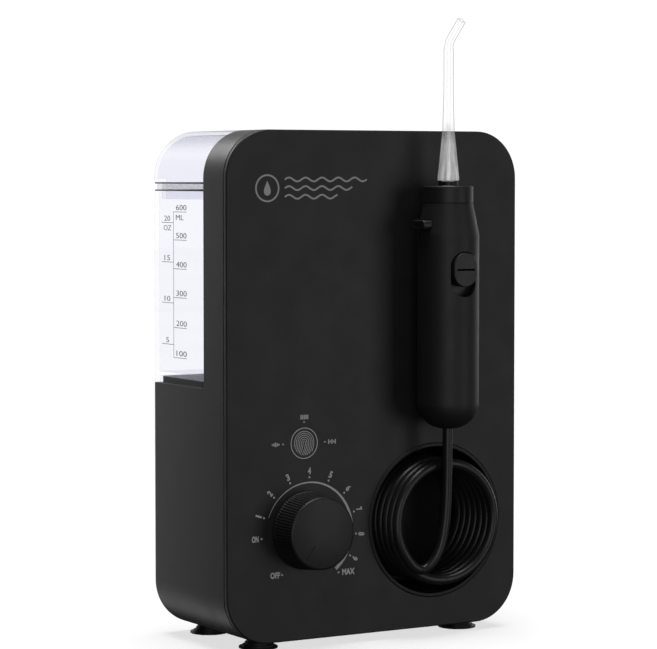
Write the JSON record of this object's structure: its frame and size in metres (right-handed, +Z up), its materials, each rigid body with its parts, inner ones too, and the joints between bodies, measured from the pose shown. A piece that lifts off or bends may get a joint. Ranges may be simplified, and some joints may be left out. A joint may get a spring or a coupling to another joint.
{
  "type": "countertop water flosser",
  "caption": "Countertop oral irrigator: slim black casing with rear water tank, pressure dial, magnetically docked handle with bent nozzle, and a coiled hose in a round recess.",
  "frame": {"origin": "on the standing surface, under the middle of the appliance's outline without its hose", "axes": "+X to the right and +Y to the back as seen from the side with the dial and handle, +Z up"},
  "size_m": [0.1608, 0.1088, 0.295],
  "materials": {
    "black_casing": "matte fine-grained black",
    "black_housing": "satin fine-grained black",
    "steel": "plain",
    "foot_rubber": "matte",
    "black_controls": "satin black",
    "hose_plastic": "satin flexible",
    "brass_fitting": "turned",
    "light_pipe": "clear",
    "circuit_board": "solder-masked",
    "board_parts": "moulded",
    "magnet_metal": "nickel plated",
    "frame_plastic": "moulded grey",
    "armature": "laminations and windings",
    "gear_plastic": "natural acetal",
    "seal_rubber": "matte",
    "pump_plastic": "light grey",
    "inner_tube": "milky",
    "clear_tank": "clear, faintly tinted",
    "grey_rubber": "matte grey",
    "clear_lid": "clear, faintly tinted",
    "black_handle": "soft satin black",
    "black_collar": "polished black",
    "clear_nozzle": "clear"
  },
  "bodies": {
    "base_unit": {"front_panel": "black_casing", "main_housing": "black_housing", "rear_cover": "black_housing", "rear_cover_screws": "steel", "suction_feet": "foot_rubber", "cord_gland": "foot_rubber", "hose_recess_cup": "black_housing", "hose_elbow": "black_controls", "hose_coil": "hose_plastic", "hose_hang": "hose_plastic", "potentiometer": "steel", "potentiometer_nut": "brass_fitting", "touch_pad": "black_controls", "touch_sensor": "steel", "mode_light_pipes": "light_pipe", "control_board": "circuit_board", "board_screws": "steel", "board_components": "board_parts", "dock_magnets": "magnet_metal", "motor_can": "steel", "motor_end_cap": "frame_plastic", "gear_axle": "steel", "pump_frame": "frame_plastic", "pump_isolators": "seal_rubber", "pump_screws": "steel", "pump_cylinder": "pump_plastic", "pump_head": "pump_plastic", "check_valves": "seal_rubber", "inlet_tube": "inner_tube", "outlet_tube": "inner_tube", "tank_socket": "frame_plastic"},
    "dial": {"dial_knob": "black_controls", "dial_shaft": "brass_fitting"},
    "motor_rotor": {"motor_shaft": "armature", "motor_pinion": "brass_fitting"},
    "crank_gear": {"drive_gear": "gear_plastic"},
    "rod": {"connecting_rod": "gear_plastic", "wrist_pin": "steel"},
    "plunger": {"piston": "gear_plastic", "piston_seal": "seal_rubber"},
    "tank_unit": {"tank": "clear_tank", "tank_valve_seat": "black_controls", "tank_seal": "seal_rubber"},
    "lid_unit": {"tank_lid": "clear_lid", "lid_gasket": "grey_rubber"},
    "poppet": {"valve_poppet": "grey_rubber", "valve_spring": "steel"},
    "handle_unit": {"handle_front_shell": "black_handle", "handle_rear_shell": "black_handle", "handle_tube": "inner_tube", "shutoff_valve": "pump_plastic", "handle_steel_plates": "steel", "nozzle_receiver": "frame_plastic", "receiver_seal": "seal_rubber"},
    "switch": {"switch_slider": "black_controls"},
    "eject": {"eject_button": "black_controls", "button_spring": "steel"},
    "collar": {"nozzle_collar": "black_collar"},
    "nozzle_unit": {"nozzle": "clear_nozzle", "nozzle_ring": "black_controls"}
  },
  "joints": [
    {"name": "dial_turn", "type": "hinge", "parent": "base_unit", "child": "dial", "pos_m": [-0.0381, -0.02388, 0.0556], "axis": [0, 1, 0], "range_deg": [0, 284]},
    {"name": "motor_spin", "type": "hinge", "parent": "base_unit", "child": "motor_rotor", "pos_m": [-0.043, 0.02413, 0.028], "axis": [1, 0, 0], "continuous": true},
    {"name": "gear_spin", "type": "hinge", "parent": "base_unit", "child": "crank_gear", "pos_m": [-0.039, 0.02413, 0.046], "axis": [1, 0, 0], "continuous": true},
    {"name": "rod_swing", "type": "hinge", "parent": "crank_gear", "child": "rod", "pos_m": [-0.03125, 0.02413, 0.043], "axis": [1, 0, 0], "continuous": true},
    {"name": "piston_stroke", "type": "slide", "parent": "base_unit", "child": "plunger", "axis": [0, 0, 1], "range_m": [0, 0.006]},
    {"name": "tank_lift", "type": "slide", "parent": "base_unit", "child": "tank_unit", "axis": [0, 0, 1], "range_m": [0, 0.12]},
    {"name": "lid_lift", "type": "slide", "parent": "tank_unit", "child": "lid_unit", "axis": [0, 0, 1], "range_m": [0, 0.05]},
    {"name": "poppet_lift", "type": "slide", "parent": "tank_unit", "child": "poppet", "axis": [0, 0, 1], "range_m": [0, 0.0025], "stiffness_N_per_m": 150, "springref_m": -0.001, "deforming": ["valve_spring"]},
    {"name": "handle_lift_off", "type": "slide", "parent": "base_unit", "child": "handle_unit", "axis": [0, -1, 0], "range_m": [0, 0.06]},
    {"name": "switch_slide", "type": "slide", "parent": "handle_unit", "child": "switch", "axis": [0, 0, 1], "range_m": [-0.0041, 0]},
    {"name": "eject_press", "type": "slide", "parent": "handle_unit", "child": "eject", "axis": [1, 0, 0], "range_m": [0, 0.0015], "stiffness_N_per_m": 400, "springref_m": -0.001},
    {"name": "collar_turn", "type": "hinge", "parent": "handle_unit", "child": "collar", "pos_m": [0.0308, -0.03923, 0.2079], "axis": [0, 0, 1], "continuous": true},
    {"name": "nozzle_pull", "type": "slide", "parent": "collar", "child": "nozzle_unit", "axis": [0, 0, 1], "range_m": [0, 0.03]}
  ],
  "couplings": [
    {"joint": "gear_spin", "follows": "motor_spin", "ratio": -0.25},
    {"joint": "rod_swing", "follows": "motor_spin", "ratio": 0.25}
  ]
}
